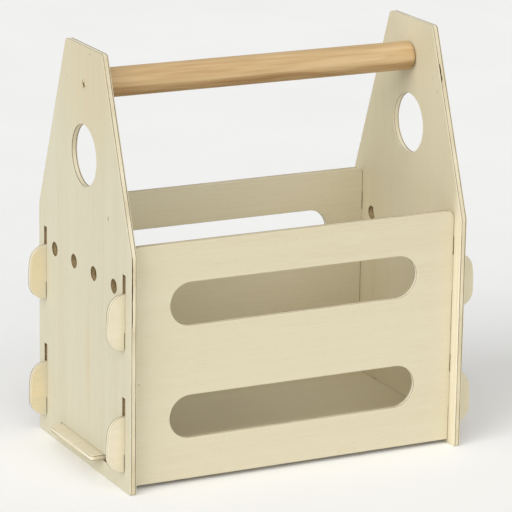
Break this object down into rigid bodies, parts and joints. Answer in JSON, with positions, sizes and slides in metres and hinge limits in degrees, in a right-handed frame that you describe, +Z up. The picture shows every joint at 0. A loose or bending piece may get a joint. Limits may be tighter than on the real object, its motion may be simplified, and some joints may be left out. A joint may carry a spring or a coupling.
{
  "type": "hay rack feeder",
  "caption": "Plug-together plywood hay rack: house-shaped ends with round holes, slotted walls hung on hook tabs, a tongued floor and a dowel carrying handle.",
  "frame": {"origin": "on the ground, under the middle of the rack", "axes": "+X along the handle from the left end panel to the right one, -Y the front, +Z up"},
  "size_m": [0.274, 0.155, 0.288],
  "materials": {
    "end_plywood": "sanded, unfinished three-ply, face grain upright",
    "wall_plywood": "sanded, unfinished three-ply, face grain lengthwise",
    "floor_plywood": "sanded, unfinished three-ply, face grain lengthwise",
    "pine_dowel": "planed, unfinished softwood, grain along the dowel",
    "zinc_screw": "yellow zinc plated"
  },
  "bodies": {
    "frame": {"side_panel_left": "end_plywood", "side_panel_right": "end_plywood", "floor_panel": "floor_plywood", "handle_dowel": "pine_dowel", "handle_screw_left": "zinc_screw", "handle_screw_right": "zinc_screw"},
    "front_wall": {"front_panel": "wall_plywood"},
    "rear_wall": {"rear_panel": "wall_plywood"}
  },
  "joints": [
    {"name": "front_wall_lift", "type": "slide", "parent": "frame", "child": "front_wall", "axis": [0, 0, 1], "range_m": [0, 0.013]},
    {"name": "rear_wall_lift", "type": "slide", "parent": "frame", "child": "rear_wall", "axis": [0, 0, 1], "range_m": [0, 0.013]}
  ]
}
